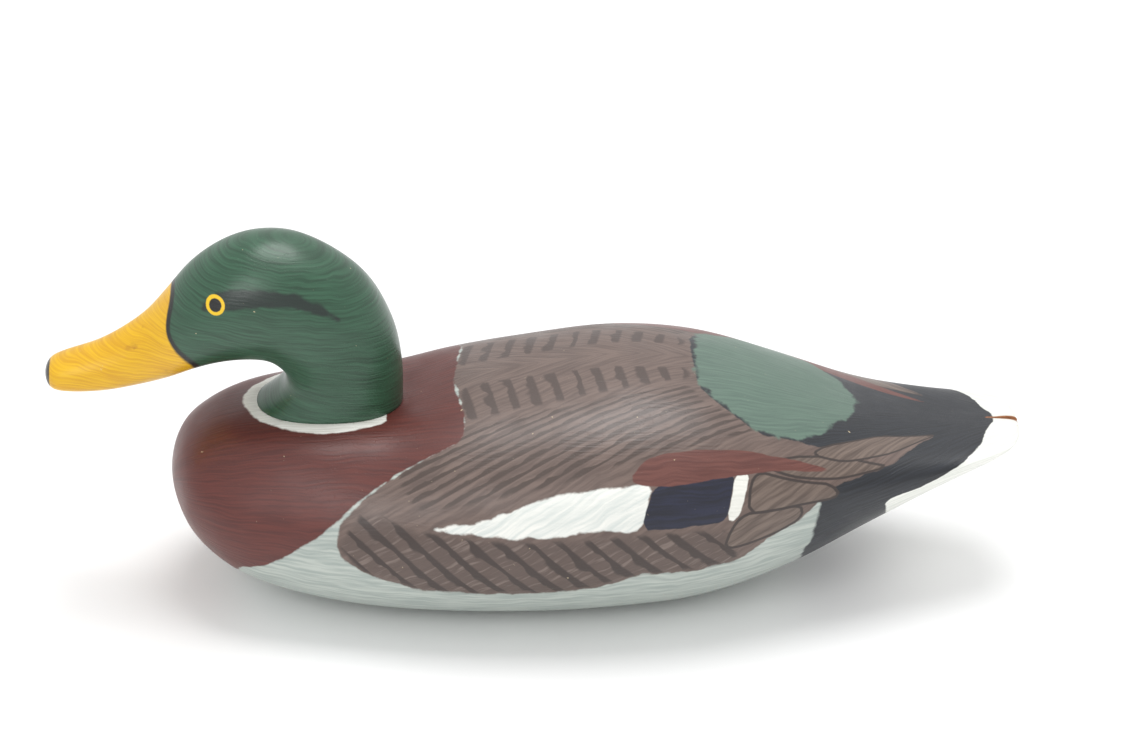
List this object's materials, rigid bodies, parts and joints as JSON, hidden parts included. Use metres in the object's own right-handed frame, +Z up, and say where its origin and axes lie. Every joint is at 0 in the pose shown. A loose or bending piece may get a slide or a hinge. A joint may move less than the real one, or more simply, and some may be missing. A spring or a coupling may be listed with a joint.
{
  "type": "duck decoy",
  "caption": "Painted wooden drake decoy with a separate head block on a broad flat-bottomed body, a level bill and an upturned tail with an old split.",
  "frame": {"origin": "centre of the body's flat underside, where the decoy stands", "axes": "-X towards the bill, +X towards the tail, +Z up; the plane of symmetry is y = 0"},
  "size_m": [0.4055, 0.1478, 0.1593],
  "materials": {
    "body_paint": "old satin paint over wood, brushed and worn",
    "head_paint": "old satin paint over wood, brushed and worn"
  },
  "bodies": {
    "root": {"body": "body_paint", "head": "head_paint"}
  },
  "joints": []
}
